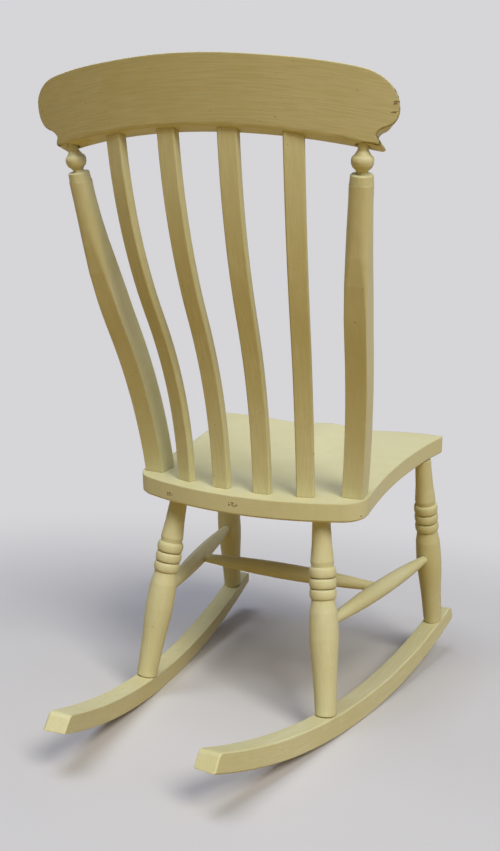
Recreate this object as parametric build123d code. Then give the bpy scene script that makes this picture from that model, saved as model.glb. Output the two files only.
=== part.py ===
from build123d import *
import os
from math import asin, cos, degrees, exp, radians, sin, sqrt, tan

# Rocking chair in painted wood: a dished seat, a back of four bent laths between two posts under a crest
# rail, turned legs, and three swelled stretchers over a pair of rockers.
# Millimetres, +Z up, the front of the chair towards -Y. The origin lies on the floor, midway between the
# points where the two rockers touch it at rest. Pieces on the sitter's left have x > 0, and the right-hand
# ones are their mirror images.

os.makedirs("parts", exist_ok=True)

# ---------------------------------------------------------------- driving dimensions

# Rockers
rocker_radius = 1388.0        # arc that rolls on the floor, in the plane of the board
rocker_width = 34.0           # thickness of the board
rocker_depth = 34.0           # height of the board at its middle
rocker_end_depth = 28.0       # height of the board at its ends
rocker_front = 442.0          # reach of the arc ahead of the contact point
rocker_rear = 450.0           # reach of the arc behind the contact point
rocker_half_gap = 180.3       # from the centre plane to the board, at the contact point
rocker_toe = 7.1              # degrees by which the fronts stand further apart
rocker_lean = 4.6             # degrees by which the tops lean inwards, with the legs
rocker_tail_rake = 7.0        # by which the upper rear corner is cut further forward than square
rocker_nose = 14.0            # rounding of the upper front corner
rocker_tail_drop = 3.0        # by which that corner is lower than the rest of the end depth
rocker_tail = 9.0             # rounding of that corner
rocker_edge = 2.0             # chamfer of the long upper edges

# Seat
seat_level = 405.8            # height of the top plane above the origin
seat_slope = 9.7              # degrees by which the seat falls towards the rear
seat_thickness = 32.0
seat_rear = 140.6             # middle of the rear edge, along the slope
seat_front = 316.4            # middle of the front edge, along the slope
seat_half_front = 228.0       # half width over the front corners
seat_half_rear = 205.0        # half width where the sides meet the rear arc
seat_half_waist = 197.0       # half width at the narrowest place
seat_waist = -57.0            # the narrowest place, along the slope
seat_rear_radius = 481.0      # arc of the rear edge
seat_rear_corner = 46.0       # rounding of the rear corners
seat_front_corner = 5.0       # rounding of the front corners
seat_front_bow = 7.0          # by which the front edge bulges between its corners
seat_edge = 3.0               # chamfer round the underside
dish_depth = 9.0              # depth of the hollow under the sitter
dish_half_width = 192.0
pommel_half_width = 52.0      # of the low ridge left between the thighs

# Legs
leg_top_diameter = 30.0
leg_rim_diameter = 38.5       # flared lower end of the neck
leg_groove_diameter = 35.5    # between the rings
leg_ring_diameter = 44.5
leg_belly_diameter = 48.0
leg_foot_diameter = 35.0
leg_foot_rounding = 2.5
leg_ring_stroke_count = 6     # straight strokes that make up each ring
leg_tenon_diameter = 17.0     # top tenon, blind in the seat
leg_tenon_length = 22.0
foot_tenon_diameter = 20.0    # bottom tenon, blind in the rocker
foot_tenon_length = 18.0
rear_leg_top = (128.0, 74.6)     # x and y where the axis meets the underside of the seat
front_leg_top = (204.0, -255.0)
rear_leg_foot = 94.0          # y where the axis meets the top of the rocker
front_leg_foot = -371.5

# Stretchers
stretcher_end_diameter = 16.0
stretcher_belly_diameter = 30.0
stretcher_stroke_count = 9    # straight strokes that make up the swell
side_stretcher_rear = 0.555   # share of the rear leg's length, from the seat
side_stretcher_front = 0.59   # share of the front leg's length, from the seat
cross_stretcher_place = 0.505  # share of the side stretcher's length, from the rear
leg_to_stretcher_end = 8.0    # from a leg's axis to the end of the side stretcher
side_to_cross_end = 4.0       # from the side stretcher's axis to the end of the cross stretcher

# Crest rail
crest_radius = 877.0          # rear face, square to its lean
crest_thickness = 23.0
crest_lean = 23.4             # degrees from upright
crest_centre_y = 337.5        # rear face on the centre plane, at the reference level
crest_level = 920.3           # the reference level
crest_rise = 6.0              # from there up to the middle of the lower edge
crest_height = 80.9           # from the middle of the lower edge to the middle of the upper one
crest_sawn_tilt = 10.4        # degrees by which the sawn edges fall towards the front
crest_bottom_drop = 9.5       # by which the lower edge is lower at the posts than in the middle
crest_overhang = 48.6         # from the middle of each post out to the widest place
crest_ear_rise = 43.2         # from the lower edge at the posts up to the widest place
crest_shoulder_drop = 11.3    # from the top of the arch down to where each ear begins
crest_shoulder_inset = 50.5   # from the widest place in to where each ear begins
crest_ear_bulge = (10.0, 20.0)   # a point of the ear, in from and above the widest place
crest_ear_turn = (15.0, 24.0)    # where the hollow below it begins, in from and below that place
crest_tip_inset = 28.0        # from the widest place in to the lower tips
crest_front_edge = 2.0        # chamfer round the front face
crest_rear_edge = 4.0         # chamfer round the rear face
crest_tip = 1.5               # by which the rounding of the lower tips exceeds that chamfer

# Back posts
post_inset = 47.5             # from the seat's rear edge to the middle of the post
post_foot_x = 177.0
post_head_x = 226.9
post_turn = 2.5               # degrees by which the post faces inwards
post_width = 34.0             # of the square lower part
post_depth = 40.0
post_edge = 1.5
post_round_diameter = 33.6    # of the round upper part
post_waist_diameter = 35.8    # lower down, where the round begins
post_shoulder_diameter = 32.0
post_shoulder_taper = 12.0    # length over which the round part thins to its shoulder
post_shoulder_rounding = 1.6
post_fade = (0.22, 0.42, 0.58, 0.72, 0.86)   # shares of the upper bend, from square to round
post_hollow = (0.27, 14.0)    # share of the height, and bow towards the sitter there
post_inflection = (0.5, 6.0)  # share of the height, and bow towards the sitter there
post_tenon_diameter = 24.0    # foot tenon, blind in the seat
post_tenon_length = 22.0
finial_height = 39.3          # from the post's shoulder to the crest rail
finial_rise = 4.5             # degrees by which the finial stands more upright than the post
finial_neck_diameter = 15.6
finial_neck_rise = 4.6        # from the shoulder up to the neck
finial_ball_diameter = 31.5
finial_ball_rise = 19.0       # from the shoulder up to the widest place of the ball
finial_ball_top = 12.5        # from there up to where the ball meets the pin
finial_pin_diameter = 15.0    # round tenon in the crest rail
finial_pin_length = 22.0
finial_pin_lead = 2.0         # by which the pin's socket starts below the crest rail's lowest points

# Laths
lath_inset = 33.5             # from the seat's rear edge to the middle of the lath
lath_foot_xs = (36.0, 106.5)
lath_head_xs = (46.6, 137.4)
lath_turns = (5.0, 18.0)      # degrees by which each lath faces inwards
lath_width = 29.0
lath_thickness = 14.5
lath_edge = 1.5
lath_hollow = (0.25, 15.5)    # share of the height, and bow towards the sitter there
lath_inflection = (0.51, 3.8)
lath_tenon_width = 22.0
lath_tenon_thickness = 9.0
lath_tenon_length = 20.0      # at both ends, blind in the seat and in the crest rail

# Fits
glue_gap = 0.1                # around every tenon
socket_room = 1.0             # left beyond the end of every tenon
root = 4.0                    # by which every tenon starts inside its own piece
overrun = 28.0                # by which a blank runs into its neighbour before it is cut to it

# ---------------------------------------------------------------- helpers


def export(piece, name):
    """Write one piece as its own file."""
    piece.label = name
    export_step(piece, "parts/" + name + ".step")


def export_pair(piece, name):
    """Write the left-hand piece and its mirror image."""
    export(piece, "left_" + name)
    export(mirror(piece, about=Plane.YZ), "right_" + name)


def biggest(shape):
    """The largest solid of a shape that cutting may have left in bits."""
    return shape.solids().sort_by(SortBy.VOLUME)[-1]


def mirrored(tools):
    """The tools together with their mirror images."""
    return tools + [mirror(tool, about=Plane.YZ) for tool in tools]


def tenon(end, section, length):
    """A straight tenon that leaves a piece along the normal of its end plane."""
    return extrude(end.offset(-root) * section, root + length)


def socket(end, section, length):
    """The bore for that tenon, with its clearance and the room beyond it."""
    return extrude(end.offset(-root) * offset(section, glue_gap), root + length + socket_room)


def strokes(curve, count):
    """Points along a curve, for cutting it as a number of short straight strokes."""
    return [curve @ (i / count) for i in range(count + 1)]


def turned(start, direction, half_outline):
    """A turned piece: points of (radius, distance from the start) spun about their axis."""
    first = Vector(*half_outline[0])
    last = Vector(*half_outline[-1])
    closed = Polyline(Vector(0, first.Y), *half_outline, Vector(0, last.Y), close=True)
    lathe = Plane(origin=start, z_dir=direction)
    face = lathe.location * (Plane.XZ * make_face(closed))
    return revolve(face, Axis(start, lathe.z_dir))


# ---------------------------------------------------------------- seat blank

# On the seat's planes local x is the chair's x, and local y runs down the slope to the rear.
slope = radians(seat_slope)
seat_plane = Plane(origin=(0, 0, seat_level), x_dir=(1, 0, 0), z_dir=(0, sin(slope), cos(slope)))
seat_underside = seat_plane.offset(-seat_thickness)


def seat_rear_at(x):
    """Distance down the slope to the rear arc."""
    return seat_rear - seat_rear_radius + sqrt(seat_rear_radius**2 - x**2)


def seat_top_point(x, inset):
    """The point of the top plane at a distance inside the rear arc."""
    return seat_plane.from_local_coords(Vector(x, seat_rear_at(x) - inset, 0))


def seat_underside_point(x, y):
    """The point of the underside straight above or below (x, y)."""
    return Vector(x, y, seat_level - seat_thickness / cos(slope) - y * tan(slope))


def seat_outline():
    """Bell-shaped outline: a rear arc, hollow sides and a slightly bowed front."""
    rear_end = (seat_half_rear, seat_rear_at(seat_half_rear))
    front_end = (seat_half_front, seat_front_bow - seat_front)
    waist = (seat_half_waist, seat_waist)
    hollow = ThreePointArc(rear_end, waist, (seat_half_waist + 7, 0.57 * front_end[1]))
    sides = [hollow, TangentArc(hollow @ 1, front_end, tangent=hollow % 1)]
    rear = ThreePointArc((-rear_end[0], rear_end[1]), (0, seat_rear), rear_end)
    front = ThreePointArc(front_end, (0, -seat_front), (-front_end[0], front_end[1]))
    outline = make_face([rear, front] + sides + [mirror(edge, about=Plane.YZ) for edge in sides])
    outline = fillet(outline.vertices().sort_by(Axis.Y)[-2:], seat_rear_corner)
    return fillet(outline.vertices().sort_by(Axis.Y)[:2], seat_front_corner)


def dish_height(x, y):
    """Height of the dished top over the seat plane, in that plane's own x and y."""
    across = max(0.0, 1 - (x / dish_half_width) ** 2) ** 2
    ahead_of_back = 1 / (1 + exp((y - 0.25 * seat_rear) / 17))
    near_front = 1 / (1 + exp((y + 0.54 * seat_front) / 32))
    pommel = near_front * exp(-((x / pommel_half_width) ** 2))
    return -dish_depth * across * ahead_of_back * (1 - pommel)


def make_seat_blank():
    """The slab with its dished top, before it is bored."""
    slab = extrude(seat_underside * seat_outline(), seat_thickness + 5)
    columns = [1.1 * seat_half_front * (i / 8 - 1) for i in range(17)]
    rows = [-1.1 * seat_front + (1.1 * seat_front + 1.15 * seat_rear) * j / 18 for j in range(19)]
    grid = [[Vector(x, y, dish_height(x, y)) for x in columns] for y in rows]
    dish = Face.make_surface_from_array_of_points(grid, tol=0.2, min_deg=3, max_deg=4)
    above = extrude(seat_plane.location * dish, 40, dir=seat_plane.z_dir)
    blank = biggest(slab - above)
    underside = blank.faces().sort_by_distance(seat_underside.origin)[0]
    return chamfer(underside.edges(), seat_edge)


# ---------------------------------------------------------------- crest rail blank

# On the crest rail's plane local z runs up the leaning rail, and local y to the rear.
crest_plane = Plane(
    origin=(0, crest_centre_y, crest_level),
    x_dir=(1, 0, 0),
    z_dir=(0, sin(radians(crest_lean)), cos(radians(crest_lean))),
)


crest_bottom = crest_level + crest_rise
crest_top = crest_bottom + crest_height
crest_half_width = post_head_x + crest_overhang


def crest_bottom_at(x):
    """Level of the lower edge in the front view, an arc through both posts and the centre."""
    arc_radius = (post_head_x**2 + crest_bottom_drop**2) / (2 * crest_bottom_drop)
    return crest_bottom - arc_radius + sqrt(arc_radius**2 - x**2)


def crest_entry(x):
    """Where an upright meets the sawn underside, midway through the rail."""
    bend = sqrt((crest_radius - crest_thickness / 2) ** 2 - x**2) - crest_radius
    rise = crest_bottom_at(x) - crest_level
    tilt = radians(crest_sawn_tilt)
    back = (bend + rise * sin(radians(crest_lean))) / cos(radians(crest_lean) + tilt)
    return Vector(x, crest_centre_y + back * cos(tilt), crest_bottom_at(x) + back * sin(tilt))


def crest_outline():
    """Front view of the rail: arched top, rounded ears, and a pointed tip under each ear."""
    bottom_end = (post_head_x, crest_bottom_at(post_head_x))
    ear = (crest_half_width, bottom_end[1] + crest_ear_rise)
    shoulder = (ear[0] - crest_shoulder_inset, crest_top - crest_shoulder_drop)
    bulge = (ear[0] - crest_ear_bulge[0], ear[1] + crest_ear_bulge[1])
    turn = (ear[0] - crest_ear_turn[0], ear[1] - crest_ear_turn[1])
    tip = (ear[0] - crest_tip_inset, bottom_end[1] - 0.5)
    top = ThreePointArc((-shoulder[0], shoulder[1]), (0, crest_top), shoulder)
    over_ear = TangentArc(shoulder, bulge, tangent=top % 1)
    round_ear = TangentArc(bulge, turn, tangent=over_ear % 1)
    hollow = TangentArc(turn, tip, tangent=round_ear % 1)
    bottom = ThreePointArc((-bottom_end[0], bottom_end[1]), (0, crest_bottom), bottom_end)
    sides = [over_ear, round_ear, hollow, Line(tip, bottom_end)]
    outline = make_face([top, bottom] + sides + [mirror(edge, about=Plane.YZ) for edge in sides])
    tips = [v for v in outline.vertices() if abs(abs(v.X) - tip[0]) < 0.1 and v.Y < crest_bottom]
    return fillet(tips, crest_rear_edge + crest_tip)


def plank_arc(radius):
    """An arc in the crest plane about the common centre of the rail's two faces."""
    half = 1.1 * crest_half_width
    end = sqrt(radius**2 - half**2) - crest_radius
    return ThreePointArc((-half, end), (0, radius - crest_radius), (half, end))


def make_crest_blank():
    """A bent plank sawn to the outline, the saw tilted, and its edges chamfered."""
    back_arc = plank_arc(crest_radius)
    front_arc = plank_arc(crest_radius - crest_thickness)
    ends = [Line(back_arc @ 0, front_arc @ 0), Line(back_arc @ 1, front_arc @ 1)]
    reach = 2.5 * crest_height
    plank = extrude(crest_plane * make_face([back_arc, front_arc] + ends), reach, both=True)
    view = Plane(origin=(0, crest_centre_y, 0), x_dir=(1, 0, 0), z_dir=(0, -1, 0))
    tilt = radians(crest_sawn_tilt)
    sawn = extrude(view * crest_outline(), reach, dir=(0, -cos(tilt), -sin(tilt)), both=True)
    blank = biggest(plank & sawn)
    rear = blank.faces().sort_by(SortBy.AREA)[-2]
    blank = chamfer(rear.edges(), crest_rear_edge)
    front = blank.faces().sort_by(SortBy.AREA)[-1]
    return chamfer(front.edges(), crest_front_edge)


# ---------------------------------------------------------------- rocker blank

# On the board's plane local x runs to the rear and local y up the leaning board. The upright plane has the
# same local x, but its local y is vertical, so that the sole lies level from side to side.
toe = radians(rocker_toe)
lean = radians(rocker_lean)
rocker_along = Vector(-sin(toe), cos(toe), 0)
rocker_outward = Vector(cos(toe), sin(toe), 0)
rocker_up = Vector(0, 0, cos(lean)) - rocker_outward * sin(lean)
rocker_origin = Vector(rocker_half_gap, 0, 0)
rocker_board = Plane(origin=rocker_origin, x_dir=rocker_along, z_dir=rocker_along.cross(rocker_up))
rocker_upright = Plane(origin=rocker_origin, x_dir=rocker_along, z_dir=rocker_outward)


def rolling_arc_point(along, above=0.0):
    """A point at a distance along the rolling arc, moved square to it."""
    sine = along / rocker_radius
    cosine = sqrt(1 - sine**2)
    return ((rocker_radius - above) * sine, rocker_radius - (rocker_radius - above) * cosine)


def rocker_top_arc():
    """Upper edge of the board."""
    front = rolling_arc_point(-rocker_front, rocker_end_depth)
    rear = rolling_arc_point(rocker_rear, rocker_end_depth)
    corner = (rear[0] - rocker_tail_rake, rear[1] - rocker_tail_drop)
    return ThreePointArc(front, (0, rocker_depth), corner)


def rocker_top_point(y):
    """The point on the middle line of the board's top that has this y."""
    arc = rocker_top_arc()
    low = 0.0
    high = 1.0
    for _ in range(40):
        middle = (low + high) / 2
        point = rocker_board.from_local_coords(arc @ middle)
        if point.Y < y:
            low = middle
        else:
            high = middle
    return point


def make_rocker_blank():
    """The board in its lean, its sole cut level across, its ends rounded."""
    spare = rocker_width * tan(lean)
    top = rocker_top_arc()
    front = rolling_arc_point(-rocker_front, -spare)
    rear = rolling_arc_point(rocker_rear, -spare)
    bottom = ThreePointArc(front, (0, -spare), rear)
    outline = make_face([top, bottom, Line(top @ 0, bottom @ 0), Line(top @ 1, bottom @ 1)])
    nose = outline.vertices().filter_by(lambda v: (Vector(v) - top @ 0).length < 0.01)
    outline = fillet(nose, rocker_nose)
    tail = outline.vertices().filter_by(lambda v: (Vector(v) - top @ 1).length < 0.01)
    outline = fillet(tail, rocker_tail)
    board = extrude(rocker_board * outline, rocker_width / 2, both=True)
    sole = ThreePointArc(rolling_arc_point(-1.2 * rocker_front), (0, 0), rolling_arc_point(1.2 * rocker_rear))
    left = sole @ 0 + Vector(0, 6 * rocker_depth, 0)
    right = sole @ 1 + Vector(0, 6 * rocker_depth, 0)
    above_sole = make_face([sole, Line(sole @ 0, left), Line(left, right), Line(right, sole @ 1)])
    board = board & extrude(rocker_upright * above_sole, 2 * rocker_width, both=True)
    board = biggest(board)
    upper = board.faces().sort_by(SortBy.AREA)[-4:].sort_by(Axis.Z)[-1]
    long_edges = upper.edges().sort_by(SortBy.LENGTH)[-2:]
    return chamfer(long_edges, rocker_edge)


def make_rocker_clearance():
    """Everything below the board's top, wider than the board, for cutting the legs to it."""
    top = rocker_top_arc()
    left = top @ 0 - Vector(0, 4 * rocker_depth, 0)
    right = top @ 1 - Vector(0, 4 * rocker_depth, 0)
    below = make_face([top, Line(top @ 0, left), Line(left, right), Line(right, top @ 1)])
    return extrude(rocker_board * below, 2 * rocker_width, both=True)


# ---------------------------------------------------------------- legs


def leg_outline(length):
    """Half outline of a leg: flared neck, three rings, and a long belly tapering to the foot."""
    top = leg_top_diameter / 2
    rim = leg_rim_diameter / 2
    groove = leg_groove_diameter / 2
    belly = leg_belly_diameter / 2
    foot = leg_foot_diameter / 2
    ring_start = 0.26 * length
    pitch = 0.0534 * length
    belly_start = ring_start + 3 * pitch
    points = [(top, -overrun), (top, 0.05 * length)]
    points += [(top + 0.35 * (rim - top), 0.15 * length), (rim, 0.235 * length)]
    for i in range(3):
        for step in range(leg_ring_stroke_count):
            angle = radians(180 * step / leg_ring_stroke_count)
            rise = (leg_ring_diameter / 2 - groove) * sin(angle) ** 0.6
            points.append((groove + rise, ring_start + pitch * (i + (1 - cos(angle)) / 2)))
    swell = Spline(
        (groove + 1, belly_start),
        (0.95 * belly, 0.5 * length),
        (belly, 0.58 * length),
        (0.88 * belly, 0.745 * length),
        (foot, length - leg_foot_rounding),
        tangents=[(0.5, 1), (-0.03, 1)],
    )
    points += strokes(swell, 9)
    points += [(foot - leg_foot_rounding, length), (foot - leg_foot_rounding, length + overrun)]
    return points


class Leg:
    """A leg with its axis, cut to the seat's underside and to the rocker's top."""

    def __init__(self, top_xy, foot_y, rocker_clearance):
        self.top = seat_underside_point(*top_xy)
        self.foot = rocker_top_point(foot_y)
        self.axis = (self.foot - self.top).normalized()
        self.length = (self.foot - self.top).length
        self.top_end = Plane(origin=self.top, z_dir=-self.axis)
        self.foot_end = Plane(origin=self.foot, z_dir=self.axis)
        blank = turned(self.top, self.axis, leg_outline(self.length))
        blank = split(blank, bisect_by=seat_underside, keep=Keep.BOTTOM)
        blank = biggest(blank - rocker_clearance)
        self.body = (
            blank
            + tenon(self.top_end, Circle(leg_tenon_diameter / 2), leg_tenon_length)
            + tenon(self.foot_end, Circle(foot_tenon_diameter / 2), foot_tenon_length)
        )

    def at(self, share):
        """The point of the axis at a share of the length, from the seat."""
        return self.top + self.axis * (share * self.length)

    def seat_socket(self):
        return socket(self.top_end, Circle(leg_tenon_diameter / 2), leg_tenon_length)

    def rocker_socket(self):
        return socket(self.foot_end, Circle(foot_tenon_diameter / 2), foot_tenon_length)


# ---------------------------------------------------------------- stretchers


class Stretcher:
    """A swelled round bar between two axes, with plain ends that sit in blind bores."""

    def __init__(self, start, finish, axis_gap, plain):
        self.direction = (finish - start).normalized()
        self.start = start + self.direction * axis_gap
        self.finish = finish - self.direction * axis_gap
        self.plain = plain
        length = (self.finish - self.start).length
        end = stretcher_end_diameter / 2
        belly = stretcher_belly_diameter / 2
        swell = ThreePointArc((end, plain), (belly, length / 2), (end, length - plain))
        half_outline = [(end, 0)] + strokes(swell, stretcher_stroke_count) + [(end, length)]
        self.body = turned(self.start, self.direction, half_outline)

    def bore(self, point, inward):
        """The bore for one end, from inside its carrier out to the start of the swell."""
        mouth = Plane(origin=point + inward * self.plain, z_dir=-inward)
        return extrude(mouth * Circle(stretcher_end_diameter / 2 + glue_gap), self.plain + socket_room)

    def start_bore(self):
        return self.bore(self.start, self.direction)

    def finish_bore(self):
        return self.bore(self.finish, -self.direction)


# ---------------------------------------------------------------- bent uprights


class Upright:
    """A bent upright: one bend towards the sitter and, above it, one away, each a true arc."""

    def __init__(self, foot, head, turn, hollow, inflection):
        chord = head - foot
        facing = Vector(cos(radians(turn)), -sin(radians(turn)), 0)
        facing = facing - chord * (facing.dot(chord) / chord.dot(chord))
        self.frame = Plane(origin=foot, x_dir=facing, z_dir=chord)
        points = []
        for share, bow in (hollow, inflection):
            points.append(self.frame.from_local_coords(Vector(0, -bow, share * chord.length)))
        self.lower = ThreePointArc(foot, points[0], points[1])
        self.upper = TangentArc(points[1], head, tangent=self.lower % 1)

    def across(self, arc, share):
        """The plane square to one of the bends at a share of its length."""
        return Plane(origin=arc @ share, x_dir=self.frame.x_dir, z_dir=arc % share)

    def foot_end(self):
        """The end plane at the seat, its normal pointing down into it."""
        plane = self.across(self.lower, 0)
        return Plane(origin=plane.origin, x_dir=plane.x_dir, z_dir=-plane.z_dir)

    def head_end(self):
        """The end plane at the top, its normal pointing up."""
        return self.across(self.upper, 1)

    def bend(self, section, arc, start=0.0, stop=1.0):
        """A bar of a section along part of one of the bends."""
        radius = arc.radius
        chord = (arc @ 1 - arc @ 0).length
        angle = 2 * asin(chord / 2 / radius) * (stop - start)
        plane = self.across(arc, start)
        towards = (arc.arc_center - plane.origin).dot(plane.y_dir)
        axis = Axis(arc.arc_center, self.frame.x_dir * (-1 if towards > 0 else 1))
        return revolve(plane * section, axis, revolution_arc=degrees(angle))


def eased_rectangle(width, depth, edge):
    """A rectangle with its corners taken off."""
    rectangle = Rectangle(width, depth)
    return chamfer(rectangle.vertices(), edge)


def lath_tenon_section():
    return Rectangle(lath_tenon_width, lath_tenon_thickness)


def make_lath(upright, seat_blank, crest_blank):
    """A lath of one section all along, cut to the seat and the crest rail, with a tenon at each end."""
    section = eased_rectangle(lath_width, lath_thickness, lath_edge)
    blank = (
        extrude(upright.foot_end() * section, 0.8 * overrun)
        + upright.bend(section, upright.lower)
        + upright.bend(section, upright.upper)
        + extrude(upright.head_end() * section, overrun)
    )
    body = biggest(blank - seat_blank - crest_blank)
    return (
        body
        + tenon(upright.foot_end(), lath_tenon_section(), lath_tenon_length)
        + tenon(upright.head_end(), lath_tenon_section(), lath_tenon_length)
    )


def shoulder_outline():
    """Half outline of the top of the round part: a slight taper to a rounded shoulder."""
    rim = post_shoulder_diameter / 2
    return [
        (post_round_diameter / 2, 0),
        (rim, post_shoulder_taper),
        (rim - post_shoulder_rounding, post_shoulder_taper + post_shoulder_rounding),
    ]


def finial_outline():
    """Half outline above the post's shoulder: neck, flattened ball and flared pin."""
    neck = finial_neck_diameter / 2
    ball = finial_ball_diameter / 2
    pin = finial_pin_diameter / 2
    below = finial_ball_rise - finial_neck_rise
    points = [(neck + 3, -root), (neck, finial_neck_rise)]
    for radius, drop in ((0.66, 0.78), (0.86, 0.57), (0.965, 0.3), (1, 0)):
        points.append((radius * ball, finial_ball_rise - drop * below))
    for radius, rise in ((0.98, 0.2), (0.91, 0.42), (0.75, 0.58)):
        points.append((radius * ball, finial_ball_rise + rise * finial_ball_top))
    points.append((pin + 1, finial_ball_rise + finial_ball_top))
    points.append((pin, 0.84 * finial_height))
    points.append((pin, finial_height + finial_pin_length))
    return points


def post_sections(shoulder_share):
    """Share of the upper bend, width, depth and corner radius of each section from square to round."""
    waist = post_waist_diameter
    sections = [
        (post_fade[0], post_width, post_depth, post_edge),
        (post_fade[1], 0.7 * post_width + 0.3 * waist, 0.9 * post_depth + 0.1 * waist, 0.32 * waist / 2),
        (post_fade[2], 0.2 * post_width + 0.8 * waist, 0.5 * post_depth + 0.5 * waist, 0.68 * waist / 2),
        (post_fade[3], waist, waist, 0.9 * waist / 2),
    ]
    for share in (post_fade[4], shoulder_share):
        sections.append((share, post_round_diameter, post_round_diameter, 0.9 * post_round_diameter / 2))
    return sections


def make_post(upright, finial_direction, seat_blank):
    """Square below and round above, its corners shaved away little by little between the two."""
    section = RectangleRounded(post_width, post_depth, post_edge)
    shoulder_share = 1 - post_shoulder_taper / upright.upper.length
    square = (
        extrude(upright.foot_end() * section, 0.8 * overrun)
        + upright.bend(section, upright.lower)
        + upright.bend(section, upright.upper, 0, post_fade[0])
    )
    shaved = loft(
        [
            upright.across(upright.upper, share) * RectangleRounded(width, depth, corner)
            for share, width, depth, corner in post_sections(shoulder_share)
        ],
        ruled=True,
    )
    taper = upright.across(upright.upper, shoulder_share)
    shoulder = turned(taper.origin, taper.z_dir, shoulder_outline())
    finial = turned(upright.upper @ 1, finial_direction, finial_outline())
    body = biggest(square - seat_blank) + shaved + shoulder + finial
    return body + tenon(upright.foot_end(), Circle(post_tenon_diameter / 2), post_tenon_length)


# ---------------------------------------------------------------- rockers, legs and stretchers

seat_blank = make_seat_blank()
crest_blank = make_crest_blank()
rocker_blank = make_rocker_blank()
rocker_clearance = make_rocker_clearance()

rear_leg = Leg(rear_leg_top, rear_leg_foot, rocker_clearance)
front_leg = Leg(front_leg_top, front_leg_foot, rocker_clearance)
side_stretcher = Stretcher(
    rear_leg.at(side_stretcher_rear),
    front_leg.at(side_stretcher_front),
    leg_to_stretcher_end,
    leg_belly_diameter / 2,
)
cross_end = side_stretcher.start + (side_stretcher.finish - side_stretcher.start) * cross_stretcher_place
cross_stretcher = Stretcher(
    cross_end,
    Vector(-cross_end.X, cross_end.Y, cross_end.Z),
    side_to_cross_end,
    stretcher_belly_diameter / 2,
)

export_pair(rocker_blank - rear_leg.rocker_socket() - front_leg.rocker_socket(), "rocker")
export_pair(rear_leg.body - side_stretcher.start_bore(), "rear_leg")
export_pair(front_leg.body - side_stretcher.finish_bore(), "front_leg")
export_pair(side_stretcher.body - cross_stretcher.start_bore(), "side_stretcher")
export(cross_stretcher.body, "cross_stretcher")

# ---------------------------------------------------------------- back

post_foot = seat_top_point(post_foot_x, post_inset)
post_entry = crest_entry(post_head_x)
finial_direction = (post_entry - post_foot).normalized().rotate(Axis.X, finial_rise)
post_path = Upright(
    post_foot,
    post_entry - finial_direction * finial_height,
    post_turn,
    post_hollow,
    post_inflection,
)
lath_paths = []
for foot_x, head_x, turn in zip(lath_foot_xs, lath_head_xs, lath_turns):
    lath_paths.append(
        Upright(
            seat_top_point(foot_x, lath_inset),
            crest_entry(head_x),
            turn,
            lath_hollow,
            lath_inflection,
        )
    )

export_pair(make_post(post_path, finial_direction, seat_blank), "back_post")
for number, upright in zip((2, 1), lath_paths):
    lath = make_lath(upright, seat_blank, crest_blank)
    export(lath, "back_lath_" + str(number))
    export(mirror(lath, about=Plane.YZ), "back_lath_" + str(5 - number))

# ---------------------------------------------------------------- seat and crest rail, bored

seat_sockets = [
    rear_leg.seat_socket(),
    front_leg.seat_socket(),
    socket(post_path.foot_end(), Circle(post_tenon_diameter / 2), post_tenon_length),
]
pin_end = Plane(origin=post_entry, z_dir=finial_direction)
crest_pin_depth = finial_pin_length + finial_pin_lead
crest_sockets = [socket(pin_end.offset(-finial_pin_lead), Circle(finial_pin_diameter / 2), crest_pin_depth)]
for upright in lath_paths:
    seat_sockets.append(socket(upright.foot_end(), lath_tenon_section(), lath_tenon_length))
    crest_sockets.append(socket(upright.head_end(), lath_tenon_section(), lath_tenon_length))

export(seat_blank - mirrored(seat_sockets), "seat")
export(crest_blank - mirrored(crest_sockets), "crest_rail")
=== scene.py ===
# %% [markdown]
# # A painted rocking chair
#
# The chair is plain joinery: a dished seat, a back of four bent laths between two posts, a bent crest rail,
# turned legs and stretchers, and two rockers. All of it is brushed with one cream paint in a satin sheen.
# The shapes come from the frame, which holds every piece in its place, in metres. This lesson finishes one
# of them, the crest rail, and gives all of them their paint, a studio and a camera.

import math

import bmesh
import bpy
import numpy as np
from mathutils import Matrix, Vector


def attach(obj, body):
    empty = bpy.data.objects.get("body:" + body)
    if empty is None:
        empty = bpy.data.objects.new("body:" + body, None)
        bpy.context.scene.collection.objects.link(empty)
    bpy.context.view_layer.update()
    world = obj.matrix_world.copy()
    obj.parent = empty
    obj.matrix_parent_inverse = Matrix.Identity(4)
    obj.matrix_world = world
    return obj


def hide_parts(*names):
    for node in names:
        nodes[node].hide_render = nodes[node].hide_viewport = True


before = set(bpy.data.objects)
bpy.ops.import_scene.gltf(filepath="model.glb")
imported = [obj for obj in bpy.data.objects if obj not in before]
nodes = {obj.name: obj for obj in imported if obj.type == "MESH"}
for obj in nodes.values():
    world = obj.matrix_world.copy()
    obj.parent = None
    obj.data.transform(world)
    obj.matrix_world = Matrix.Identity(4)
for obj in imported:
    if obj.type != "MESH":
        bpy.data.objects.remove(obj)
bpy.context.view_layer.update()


print("pieces in the frame:", len(nodes))

# %% [markdown]
# ## Sums with sockets
#
# A finish is a sum of many small things: a tone, brush strokes, grime, a chip. Drawn as nodes, such sums
# are hard to read. A small class that wraps a socket and answers to +, - and * lets them be written as sums.
# Values become Math nodes, vectors Vector Math, and colours go through Mix, because a Math node turns a
# colour grey.


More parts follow.
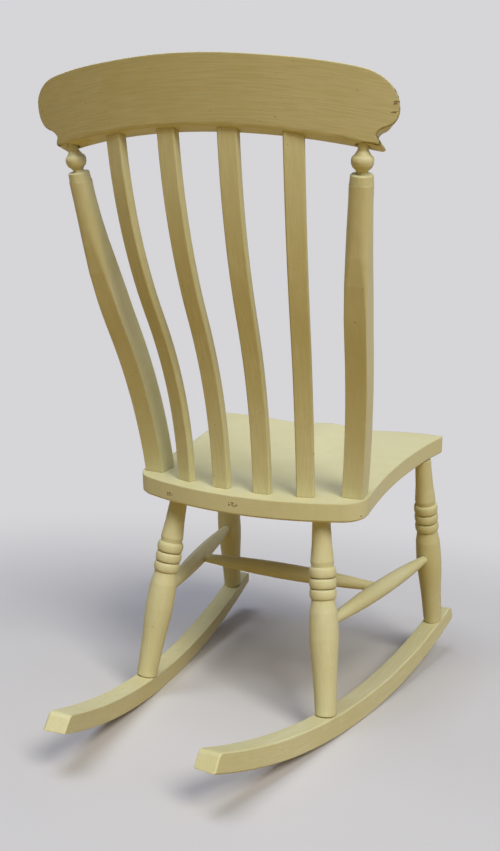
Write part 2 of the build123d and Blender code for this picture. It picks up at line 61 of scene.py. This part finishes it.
# %% A socket that can be added and multiplied
class Wire:
    """One output of a shader node."""

    def __init__(self, finish, socket):
        self.finish = finish
        self.socket = socket

    def combine(self, operation, first, second):
        kinds = [w.socket.type for w in (first, second) if isinstance(w, Wire)]
        if "RGBA" in kinds:
            settings = {"data_type": "RGBA", "blend_type": operation}
            return self.finish.node("Mix", settings, {0: 1.0, 6: colour(first), 7: colour(second)}, 2)
        if "VECTOR" in kinds:
            sockets = {0: triple(first), 1: triple(second)}
            return self.finish.node("VectorMath", {"operation": operation}, sockets)
        return self.finish.node("Math", {"operation": operation}, {0: first, 1: second})

    def __add__(self, other):
        return self.combine("ADD", self, other)

    def __radd__(self, other):
        return self.combine("ADD", other, self)

    def __sub__(self, other):
        return self.combine("SUBTRACT", self, other)

    def __rsub__(self, other):
        return self.combine("SUBTRACT", other, self)

    def __mul__(self, other):
        return self.combine("MULTIPLY", self, other)

    def __rmul__(self, other):
        return self.combine("MULTIPLY", other, self)


def triple(value):
    """A number stands for the same amount along all three axes."""
    return (value, value, value) if isinstance(value, (int, float)) else value


def colour(value):
    """A number or three numbers as a colour. A wire stays as it is."""
    if isinstance(value, Wire):
        return value
    return (*triple(value), 1.0)


print("a number as a colour:", colour(0.5))

# %% [markdown]
# ## One bench for every finish
#
# Each finish is a material with its own node tree, and the air of the studio has one too. The bench below
# adds any node by its type, makes its settings first, then fills its sockets with values or wires, and hands
# back one of its outputs as a wire.


# %% The finish bench
class Finish:
    """A material or a world under construction."""

    def __init__(self, owner):
        owner.use_nodes = True
        self.owner = owner
        self.tree = owner.node_tree
        self.tree.nodes.clear()

    def node(self, kind, settings=None, sockets=None, output=0):
        made = self.tree.nodes.new("ShaderNode" + kind)
        for name, value in (settings or {}).items():
            setattr(made, name, value)
        for name, value in (sockets or {}).items():
            if isinstance(value, Wire):
                self.tree.links.new(value.socket, made.inputs[name])
            else:
                made.inputs[name].default_value = value
        return Wire(self, made.outputs[output]) if len(made.outputs) else None

    def noise(self, where, scale, detail=2.0, rough=0.5):
        """Cloudy values from 0 to 1. Scale is how many clouds there are to a metre."""
        sockets = {"Vector": where, "Scale": scale, "Detail": detail, "Roughness": rough}
        return self.node("TexNoise", {}, sockets)

    def between(self, value, low, high):
        """0 below low, 1 above high, and smooth between them, as a node."""
        settings = {"interpolation_type": "SMOOTHSTEP"}
        return self.node("MapRange", settings, {"Value": value, "From Min": low, "From Max": high})

    def blend(self, factor, first, second):
        """The first colour where the factor is 0, the second where it is 1."""
        settings = {"data_type": "RGBA", "blend_type": "MIX"}
        return self.node("Mix", settings, {0: factor, 6: colour(first), 7: colour(second)}, 2)


def new_finish(name):
    return Finish(bpy.data.materials.new(name))


def linear(red, green, blue):
    """A colour mixed on a screen, from 0 to 255, as amounts of light."""
    return tuple(((v / 255 + 0.055) / 1.055) ** 2.4 for v in (red, green, blue))


print("a screen's middle grey as light:", round(linear(128, 128, 128)[0], 3))

# %% [markdown]
# ## The crest rail, measured as a maker would
#
# The crest rail is bent from a board, and sawn at a slant to its faces. To finish it, each point of its mesh
# is described by three measures: how far it is from the middle, how deep it lies below the rear face, and
# how high it is, followed along the slant of the saw. In these measures the bent board lies flat, so an edge
# or an ear can be moved in them with plain sums and then put back on the bend. Sculpting by hand would do as
# well, but a script can't repeat it.

# %% The crest rail's measures
CREST_RADIUS = 0.877  # of the rear face
CREST_LEAN = math.radians(23.4)  # of the board, from upright
SAW_TILT = math.radians(10.4)  # of the sawn edges, from level
SAW_SLOPE = math.tan(CREST_LEAN + SAW_TILT)  # of the sawn edges, against the board
CREST_BACK = np.array([0.0, math.cos(CREST_LEAN), -math.sin(CREST_LEAN)])
CREST_UP = np.array([0.0, math.sin(CREST_LEAN), math.cos(CREST_LEAN)])


def points_of(mesh):
    flat = np.zeros(len(mesh.vertices) * 3, np.float32)
    mesh.vertices.foreach_get("co", flat)
    return flat.reshape(-1, 3).astype(float)


BOARD = points_of(nodes["crest_rail"].data)
REARMOST = (BOARD @ CREST_BACK).max()
CENTRE = REARMOST - CREST_RADIUS  # of the bend, measured backwards like REARMOST
LOWEST = (BOARD @ CREST_UP + (REARMOST - BOARD @ CREST_BACK) * SAW_SLOPE).min()


def measured(points):
    """Distance across, depth below the rear face, and height above the lowest tip, along the saw cut."""
    back = points @ CREST_BACK
    depth = CREST_RADIUS - np.hypot(points[:, 0], back - CENTRE)
    height = points @ CREST_UP + (REARMOST - back) * SAW_SLOPE - LOWEST
    return points[:, 0].copy(), depth, height


def placed(across, depth, height):
    """The points again, from these three measures."""
    back = CENTRE + np.sqrt((CREST_RADIUS - depth) ** 2 - across**2)
    up = height + LOWEST - (REARMOST - back) * SAW_SLOPE
    return np.outer(across, (1, 0, 0)) + np.outer(back, CREST_BACK) + np.outer(up, CREST_UP)


board_depth, board_height = measured(BOARD)[1:]
print("board thickness:", round(board_depth.max() * 1000), "mm")
print("from the tips to the top:", round(board_height.max() * 1000), "mm")

# %% [markdown]
# ## Its rear edge, lightly broken
#
# Round the rear face the frame has a broad chamfer. On the real rail this edge is only lightly broken. The
# chamfer has an inner edge, on the face, and an outer edge, a few millimetres down the sawn side. Drawing
# each of them towards the corner makes it narrow without adding or losing a single point. A new bevel would
# have to find its way round the tight hollows under the ears.

# %% Narrow the chamfer round the rear face
BROKEN_EDGE = 0.3  # of the frame's chamfer is left
FACE_DEPTH = 0.0003  # points less deep than this lie on the rear face
OUTER_EDGE_DEPTHS = (0.0029, 0.0043)  # points between these lie on the chamfer's outer edge
CHAMFER_REACH = 0.0065  # from the outer edge in to the inner one, at most


def with_broken_edge(points):
    """Narrow the chamfer round the rear face from both of its sides."""
    across, depth, height = measured(points)
    shallow, deep = OUTER_EDGE_DEPTHS
    outer_edge = np.flatnonzero((depth > shallow) & (depth < deep))
    face = np.flatnonzero(depth < FACE_DEPTH)
    gap = np.hypot(across[face, None] - across[outer_edge], height[face, None] - height[outer_edge])
    close = gap.min(1) < CHAMFER_REACH
    inner, outer = face[close], outer_edge[gap.argmin(1)[close]]
    across[inner] += (1 - BROKEN_EDGE) * (across[outer] - across[inner])
    height[inner] += (1 - BROKEN_EDGE) * (height[outer] - height[inner])
    depth[outer_edge] *= BROKEN_EDGE
    return placed(across, depth, height)


moved = np.linalg.norm(with_broken_edge(BOARD) - BOARD, axis=1)
print("the rear edge moves by up to", round(moved.max() * 1000, 1), "mm")

# %% [markdown]
# ## Its ears, shoulders and tips
#
# In the frame the ends are sawn parallel, straight through to the front. On the real rail the maker went on.
# The ears are square to the bend and eased towards the front, so from behind only a thin rim of each shows.
# The shoulders above them are full, the hollows below them are deep, and the tips are drawn out. Each of
# these is a zone that fades in and out smoothly, times the distance by which it moves the points.

# %% Shape the ears, shoulders, hollows and tips
END_ACROSS = (0.225, 0.244)  # the ends begin between these distances from the middle
TIP_HEIGHTS = (0.003, 0.013)  # a tip fades out between these
HOLLOW_FROM, HOLLOW_TO = (0.005, 0.013), (0.020, 0.030)  # a hollow fades in, and out again
EAR_HEIGHTS = (0.014, 0.034)
SHOULDER_ACROSS, SHOULDER_HEIGHTS = (0.09, 0.22), (0.050, 0.090)
SHOULDER_END_ACROSS = (0.19, 0.25)

SHOULDER_RISE = 0.0030
SHOULDER_REACH = 0.0030
EAR_REACH = 0.0030
EAR_EASING = 0.32  # by which an ear draws in for each unit of depth
HOLLOW_DEPTH = 0.0025
TIP_REACH = 0.0045
TIP_DROP = 0.0020


def rise(value, low, high):
    """0 below low, 1 above high, and smooth between them, for numbers."""
    share = np.clip((value - low) / (high - low), 0, 1)
    return share * share * (3 - 2 * share)


def with_ears(points):
    """The ends of the crest rail as the maker left them."""
    across, depth, height = measured(points)
    out, side = abs(across), np.sign(across)
    end = rise(out, *END_ACROSS)
    tip = end * (1 - rise(height, *TIP_HEIGHTS))
    hollow = end * rise(height, *HOLLOW_FROM) * (1 - rise(height, *HOLLOW_TO))
    ear = end * rise(height, *EAR_HEIGHTS)
    shoulder = rise(out, *SHOULDER_ACROSS) * rise(height, *SHOULDER_HEIGHTS)
    shoulder_end = shoulder * rise(out, *SHOULDER_END_ACROSS)
    out = out + EAR_REACH * ear + SHOULDER_REACH * shoulder_end + TIP_REACH * tip - HOLLOW_DEPTH * hollow
    out = out - depth * (out / CREST_RADIUS) * (1 - tip) - EAR_EASING * depth * ear
    height = height + SHOULDER_RISE * shoulder - TIP_DROP * tip
    return placed(side * out, depth, height)


moved = np.linalg.norm(with_ears(BOARD) - BOARD, axis=1)
print("the ears, shoulders and tips move points by up to", round(moved.max() * 1000, 1), "mm")

# %% [markdown]
# ## The finished crest rail
#
# The mesh from the frame has long triangles that run from the lower edge of a face to its upper edge. Moved
# at their ends alone, they would fold over the deepened hollows. So a copy of the mesh is first cut along
# the saw cut at several heights, closest together at the tips, and then its points are moved. The new piece
# stands for the one in the frame, which stays as it was.

# %% Cut the mesh finer, move its points, and put it in the frame
CUTS = [0.003 * step for step in range(1, 13)] + [0.045, 0.060, 0.075]
WELD = 1e-6
SHARP_FROM = math.radians(28)


def cut_across(mesh):
    """Cut the long triangles of a mesh along its saw cuts, so that they can bend."""
    work = bmesh.new()
    work.from_mesh(mesh)
    bmesh.ops.remove_doubles(work, verts=work.verts, dist=WELD)
    upward = Vector(CREST_UP - CREST_BACK * SAW_SLOPE)
    lowest = min(upward.dot(vertex.co) for vertex in work.verts)
    for height in CUTS:
        place = upward * ((lowest + height) / upward.length_squared)
        everything = work.verts[:] + work.edges[:] + work.faces[:]
        bmesh.ops.bisect_plane(work, geom=everything, dist=WELD, plane_co=place, plane_no=upward)
    work.to_mesh(mesh)
    work.free()


def added(name, data):
    """A new object in the scene."""
    made = bpy.data.objects.new(name, data)
    bpy.context.scene.collection.objects.link(made)
    return made


def move_points(mesh, change):
    mesh.vertices.foreach_set("co", change(points_of(mesh)).astype(np.float32).ravel())


def finished_crest_rail():
    """The crest rail's own mesh, cut finer and with its points moved."""
    mesh = nodes["crest_rail"].data.copy()
    move_points(mesh, with_broken_edge)
    cut_across(mesh)
    move_points(mesh, with_ears)
    if "custom_normal" in mesh.attributes:
        mesh.attributes.remove(mesh.attributes["custom_normal"])
    mesh.shade_smooth()
    mesh.set_sharp_from_angle(angle=SHARP_FROM)
    mesh.update()
    piece = added("crest_rail_with_square_ears", mesh)
    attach(piece, "root")
    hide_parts("crest_rail")
    return piece


pieces = dict(nodes)
pieces["crest_rail"] = finished_crest_rail()
print("crest rail is", round(pieces["crest_rail"].dimensions.x * 1000), "mm wide")

# %% [markdown]
# ## Which way the brush went
#
# A painter draws the brush along each piece, and the grain of the wood below shows through in the same
# direction. The laths and rockers are bent, so a straight texture would run off them. Each mesh point gets
# three numbers instead: two across the piece, measured from its bent centre line, and one along it. They
# are found from the mesh: its longest direction first, then a smooth curve through the middles of its
# slices.

# %% Find the direction and the centre line of a piece
SIDEWAYS = {"seat"}  # its grain runs from side to side


def lengthways(points, name):
    """The direction in which a piece is longest."""
    if name in SIDEWAYS:
        return np.array([1.0, 0.0, 0.0])
    spread = np.cov((points - points.mean(0)).T)
    return np.linalg.eigh(spread)[1][:, -1]


def bent_centre(along, offset, slices=12):
    """Offset of the centre line, as a cubic in the distance along the piece."""
    edges = np.linspace(along.min(), along.max() + 1e-9, slices + 1)
    middles, centres = [], []
    for low, high in zip(edges[:-1], edges[1:]):
        inside = offset[(along >= low) & (along < high)]
        if len(inside):
            middles.append((low + high) / 2)
            centres.append((inside.min() + inside.max()) / 2)
    return np.polyval(np.polyfit(middles, centres, min(3, len(middles) - 1)), along)


print("pieces with their grain from side to side:", sorted(SIDEWAYS))

# %% Mark the grain on every piece
STEEP = 0.7  # a piece whose direction rises more than this counts as upright


def mark_grain(name, piece):
    """Give each point its place across and along the grain, and return the piece's length."""
    points = points_of(piece.data)
    axis = lengthways(points, name)
    helper = np.array([0.0, 0.0, 1.0]) if abs(axis[2]) < STEEP else np.array([0.0, 1.0, 0.0])
    first = np.cross(axis, helper)
    first /= np.linalg.norm(first)
    second = np.cross(axis, first)
    along = points @ axis
    grain = np.stack([points @ first, points @ second, along], 1)
    if name not in SIDEWAYS:
        for column in (0, 1):
            grain[:, column] -= bent_centre(along, grain[:, column])
    layer = piece.data.attributes.new("grain", "FLOAT_VECTOR", "POINT")
    layer.data.foreach_set("vector", grain.astype(np.float32).ravel())
    return along.max() - along.min()


for name, piece in sorted(pieces.items()):
    print(f"{name}: {mark_grain(name, piece) * 1000:.0f} mm along the grain")

# %% [markdown]
# ## Colours of the paint
#
# The cream is a warm, slightly green one. It is deeper where the coat is thin or has yellowed, and paler
# where it is thick. A duller cream fills the open grain, and a brown grime of dust and wax lies thinly
# between the strokes of the brush. The same brown is laid into the corners as painted shade. Specks are
# darker, and under a chip is bare wood.
# They are mixed as on a screen, where they are easy to judge, and turned into amounts of light.

# %% Mix the colours, from 0 to 255
CREAM = linear(217, 213, 170)
DEEPER_CREAM = linear(210, 204, 153)
PALER_CREAM = linear(222, 219, 183)
# The brown below is the dirt between brush strokes, and also the painted shade laid into crevices.
GRIME_AND_CREVICE_SHADE = linear(140, 114, 60)
BARE_WOOD = linear(138, 110, 72)
STREAK = linear(204, 196, 142)
PINHOLE = linear(110, 86, 52)
print("cream as light:", tuple(round(v, 3) for v in CREAM))

# %% [markdown]
# ## Knocks
#
# The chips sit where such a chair gets knocked: three on the rear edge of the seat, two on one ear of the
# crest rail, and small ones on the posts and a lath. Each is a place and a size. A chip is a ball around its
# place, squeezed flat, and noise breaks up its outline. Chips modelled into the mesh would need a finer mesh
# than the rest of the chair.

# %% Places of the knocks, in metres, and their sizes
KNOCKS = [
    ((0.001, 0.137, 0.3675), 0.0130),
    ((0.126, 0.119, 0.3665), 0.0110),
    ((-0.197, 0.081, 0.3675), 0.0050),
    ((-0.273, 0.304, 0.9580), 0.0090),
    ((-0.270, 0.302, 0.9470), 0.0070),
    ((-0.207, 0.206, 0.6720), 0.0040),
    ((0.188, 0.088, 0.4310), 0.0025),
    ((0.047, 0.1145, 0.4060), 0.0025),
]
KNOCK_SQUEEZE = (0.7, 1.0, 1.5)  # so that a chip is wider than it is tall
KNOCK_CORE = 0.35  # of its size, from where a chip begins to fade
RAGGED_SCALE = 400.0
RAGGED_EDGE = (0.46, 0.54)  # a narrow step, so that a chip ends sharply


def knock_mask(finish, where):
    """1 inside a chip, 0 on sound paint."""
    ragged = finish.noise(where, RAGGED_SCALE, 2.0, 0.6)
    total = None
    for place, size in KNOCKS:
        offset = (where - place) * KNOCK_SQUEEZE
        apart = finish.node("VectorMath", {"operation": "LENGTH"}, {0: offset}, "Value")
        near = 1 - finish.between(apart, KNOCK_CORE * size, size)
        total = near if total is None else total + near
    return finish.between(total * ragged, *RAGGED_EDGE)


print("knocks:", len(KNOCKS))

# %% [markdown]
# ## The cream paint
#
# The paint is a satin one, brushed on by hand. Its tone drifts a little across the chair. The bristles leave
# fine lines along each piece, and the open grain of the wood shows as longer, shallower ones. In the
# crevices the colour is painted darker and browner, as painted shade, where ambient occlusion is low because
# other faces are near. Each of these is one wire below. All pieces have the same paint, in different shares.

# %% The marks in the paint: how fine they are, how stretched, and where in the noise they begin and end
BRISTLE_SCALE, BRISTLE_STRETCH = 1300.0, (1.0, 1.0, 0.02)
STREAK_SCALE, STREAK_STRETCH, OPEN_GRAIN = 600.0, (1.0, 1.0, 0.03), (0.38, 0.66)
DRIFT_SCALE, DRIFTED = 6.0, (0.38, 0.66)
PATCH_SCALE, PATCHED = 34.0, (0.50, 0.74)
SPECK_SCALE, SPECKED = 240.0, (0.77, 0.80)
CREVICE_WIDTH, OPEN = 0.006, (0.2, 0.75)
BRISTLE_HEIGHT, PATCH_HEIGHT, GRAIN_DEPTH, CHIP_DEPTH = 0.00010, 0.00012, 0.00012, 0.00035
print(f"bristle lines are about {1000 / BRISTLE_SCALE:.1f} mm wide")


# %% The paint itself
def cream_paint(name, grain_share, unevenness, crevice_shade_share, softened):
    """A material for one kind of piece. The last number is the radius to which its edges look softened."""
    finish = new_finish(name)
    where = finish.node("TexCoord", {}, {}, "Object")
    grain = finish.node("Attribute", {"attribute_name": "grain"}, {}, "Vector")
    bristles = finish.noise(grain * BRISTLE_STRETCH, BRISTLE_SCALE, 2.0, 0.6)
    streaks = finish.noise(grain * STREAK_STRETCH, STREAK_SCALE, 2.0, 0.55)
    open_grain = finish.between(streaks, *OPEN_GRAIN)
    drift = finish.noise(where, DRIFT_SCALE, 3.0, 0.5)
    patches = finish.noise(where, PATCH_SCALE, 2.0, 0.5)
    specks = finish.noise(where, SPECK_SCALE, 1.0, 0.5)
    openness = finish.node("AmbientOcclusion", {"samples": 8}, {"Distance": CREVICE_WIDTH}, "AO")
    crevice = 1 - finish.between(openness, *OPEN)
    chipped = knock_mask(finish, where)

    tone = finish.blend(finish.between(drift, *DRIFTED) * unevenness, CREAM, DEEPER_CREAM)
    tone = finish.blend(finish.between(patches, *PATCHED) * (0.7 * unevenness), tone, PALER_CREAM)
    tone = finish.blend(open_grain * grain_share, tone, STREAK)
    tone = finish.blend((bristles - 0.45) * (0.35 * grain_share), tone, GRIME_AND_CREVICE_SHADE)
    tone = finish.blend(finish.between(specks, *SPECKED) * 0.5, tone, PINHOLE)
    # Painted shade: the colour turns darker and browner where ambient occlusion finds other faces near.
    tone = finish.blend(crevice * crevice_shade_share, tone, GRIME_AND_CREVICE_SHADE)
    tone = finish.blend(chipped, tone, BARE_WOOD)

    rough = 0.42 + 0.08 * drift + 0.08 * bristles + 0.12 * crevice + 0.25 * chipped
    height = BRISTLE_HEIGHT * bristles - (GRAIN_DEPTH * grain_share) * open_grain
    height = height + PATCH_HEIGHT * patches - CHIP_DEPTH * chipped
    eased = finish.node("Bevel", {"samples": 4}, {"Radius": softened})
    relief = finish.node("Bump", {}, {"Strength": 0.6, "Distance": 1.0, "Height": height, "Normal": eased})
    surface = finish.node(
        "BsdfPrincipled",
        {},
        {"Base Color": tone, "Roughness": rough, "Normal": relief, "Specular IOR Level": 0.35},
    )
    finish.node("OutputMaterial", {}, {"Surface": surface})
    return finish.owner


# The third number of each is how strongly painted shade darkens its crevices.
SHARES = {
    "crest_rail": {"grain_share": 0.65, "unevenness": 0.6, "crevice_shade_share": 0.45, "softened": 0.0022},
    "boards": {"grain_share": 0.55, "unevenness": 0.7, "crevice_shade_share": 0.50, "softened": 0.0016},
    "turned_pieces": {"grain_share": 0.30, "unevenness": 0.7, "crevice_shade_share": 0.60, "softened": 0.0020},
    "seat": {"grain_share": 0.22, "unevenness": 0.5, "crevice_shade_share": 0.50, "softened": 0.0030},
}
PAINTS = {kind: cream_paint("cream_paint_on_" + kind, **shares) for kind, shares in SHARES.items()}
print("paints:", [paint.name for paint in PAINTS.values()])

# %% [markdown]
# ## Painting the pieces
#
# The grain shows most on the crest rail's broad face, then on the laths and rockers. It shows less on turned
# wood, which the lathe leaves closed, and least on the seat, which is worn smooth. A piece's name says which
# of the four paints it gets. The posts are turned in their upper part, and get the paint of turned pieces.


# %% Paint every piece
def paint_for(name):
    """The seat and the crest rail have a paint of their own."""
    if name in PAINTS:
        return PAINTS[name]
    turned = any(kind in name for kind in ("leg", "stretcher", "post"))
    return PAINTS["turned_pieces" if turned else "boards"]


for name, piece in sorted(pieces.items()):
    piece.data.materials.clear()
    piece.data.materials.append(paint_for(name))
print("painted pieces:", len(pieces))

# %% [markdown]
# ## The studio
#
# The air is a plain pale grey where the camera looks at it, or where a reflection does. As a light it is
# much weaker, and a little stronger and cooler on the side of the window. Light Path tells the two apart.

# %% Background and light from all around
PALE = linear(214, 213, 216)
WINDOW_SIDE_GLOW = (0.13, 0.14, 0.18)
ROOM_SIDE_GLOW = (0.10, 0.10, 0.10)


def seen(finish):
    """1 for rays that should find the pale background."""
    kinds = ("Is Camera Ray", "Is Glossy Ray", "Is Transmission Ray")
    camera_ray, glossy_ray, clear_ray = (finish.node("LightPath", {}, {}, kind) for kind in kinds)
    any_ray = camera_ray + glossy_ray + clear_ray
    return finish.node("Math", {"operation": "MINIMUM"}, {0: any_ray, 1: 1.0})


studio = bpy.data.worlds.new("studio")
bpy.context.scene.world = studio
air = Finish(studio)
heading = air.node("TexCoord", {}, {}, "Generated")
sideways = air.node("SeparateXYZ", {}, {0: heading}, "X")
glow = air.blend(air.between(sideways, -0.7, 0.5), WINDOW_SIDE_GLOW, ROOM_SIDE_GLOW)
backdrop = air.node("Background", {}, {"Color": air.blend(seen(air), glow, PALE), "Strength": 1.0})
air.node("OutputWorld", {}, {"Surface": backdrop})
print("world:", studio.name)

# %% [markdown]
# ## The floor
#
# A pale floor without an edge: near the chair it catches the shadow, and further out it turns into the plain
# background. The camera sees the floor pale, but the light that it throws back onto the chair is that of a
# wooden floor, as in a lived-in room, so undersides turn warm instead of white.

# %% A round floor that fades into the background
WOOD_BOUNCE = linear(176, 144, 64)
FLOOR_RADIUS = 9.0
FLOOR_FADE = (0.6, 1.6)  # metres from the middle


def round_floor(radius, steps=96):
    """A flat disc."""
    turns = np.linspace(0, 2 * math.pi, steps + 1)[:-1]
    rim = [(radius * math.cos(t), radius * math.sin(t), 0) for t in turns]
    mesh = bpy.data.meshes.new("studio_floor")
    mesh.from_pydata([(0, 0, 0)] + rim, [], [(0, i + 1, (i + 1) % steps + 1) for i in range(steps)])
    return added("studio_floor", mesh)


floor = round_floor(FLOOR_RADIUS)
cloth = new_finish("studio_floor")
spot = cloth.node("TexCoord", {}, {}, "Object")
away = cloth.node("VectorMath", {"operation": "LENGTH"}, {0: spot}, "Value")
near = cloth.node("BsdfDiffuse", {}, {"Color": (*PALE, 1.0)})
far = cloth.node("Emission", {}, {"Color": (*PALE, 1.0), "Strength": 1.0})
bounce = cloth.node("BsdfDiffuse", {}, {"Color": (*WOOD_BOUNCE, 1.0)})
fading = cloth.node("MixShader", {}, {0: cloth.between(away, *FLOOR_FADE), 1: near, 2: far})
shown = cloth.node("MixShader", {}, {0: seen(cloth), 1: bounce, 2: fading})
cloth.node("OutputMaterial", {}, {"Surface": shown})
floor.data.materials.append(cloth.owner)
print(f"floor radius {FLOOR_RADIUS:.0f} m")

# %% [markdown]
# ## Lamps
#
# Three square lamps are large, so that their shadows are soft, and far away, so that their light is even.
# The key lamp is warm. It stands behind the chair, to the sitter's right, and lights the rear of the back
# and the seat's rear edge. The sky lamp hangs high up, a little behind the chair, and lights the seat and
# the tops of the rockers. The third is weak, low and cool, and stands for a window to the sitter's right.

# %% Three soft lamps
LAMP_TARGET = Vector((0, 0.1, 0.5))


def lamp(name, azimuth, height, distance, size, watts, tint):
    """A square lamp at an azimuth and height in degrees, facing the chair. Azimuth 0 is behind it."""
    a, h = math.radians(azimuth), math.radians(height)
    aim = Vector((math.sin(a) * math.cos(h), math.cos(a) * math.cos(h), math.sin(h)))
    light = bpy.data.lights.new(name, "AREA")
    light.shape = "SQUARE"
    light.size = size
    light.energy = watts
    light.color = tint
    stand = added(name, light)
    stand.location = LAMP_TARGET + aim * distance
    stand.rotation_euler = aim.to_track_quat("Z", "Y").to_euler()
    return stand


WARM, CLEAR, COOL = (1.0, 0.96, 0.84), (0.94, 0.98, 1.08), (0.78, 0.86, 1.25)
key = lamp("key_lamp", azimuth=-46, height=43, distance=11.0, size=4.4, watts=800, tint=WARM)
sky = lamp("sky_lamp", azimuth=15, height=66, distance=9.0, size=4.5, watts=340, tint=CLEAR)
window = lamp("window_lamp", azimuth=-100, height=15, distance=8.0, size=3.5, watts=26, tint=COOL)
print("lamps:", key.name, sky.name, window.name)

# %% [markdown]
# ## The camera
#
# It stands behind the chair and to the sitter's right, as high as the middle of the back, and looks down a
# little. It is also turned a few degrees about its own line of sight. A constraint that aims it at a target
# would leave that turn out, so all three turns are set directly.

# %% Camera
CAMERA_PLACE = (-0.67899, 1.64184, 0.70784)
CAMERA_TURN, CAMERA_DIP, CAMERA_ROLL = 0.4118, 0.12677, 0.05736  # in radians

scene = bpy.context.scene
scene.view_settings.view_transform = "Standard"
optics = bpy.data.cameras.new("camera")
optics.sensor_fit = "VERTICAL"
optics.sensor_height = 36.0
optics.lens = 44.42
camera = added("camera", optics)
facing = Matrix.Rotation(math.pi + CAMERA_TURN, 3, "Z") @ Matrix.Rotation(math.pi / 2 - CAMERA_DIP, 3, "X")
facing = facing @ Matrix.Rotation(CAMERA_ROLL, 3, "Z")
camera.matrix_world = Matrix.Translation(CAMERA_PLACE) @ facing.to_4x4()
scene.camera = camera
print("camera at", tuple(round(v, 3) for v in CAMERA_PLACE))

# %% [markdown]
# ## End
#
# The chair, its paint, the studio and the camera are all in place.

# %% End
print("the chair is painted and in its studio")
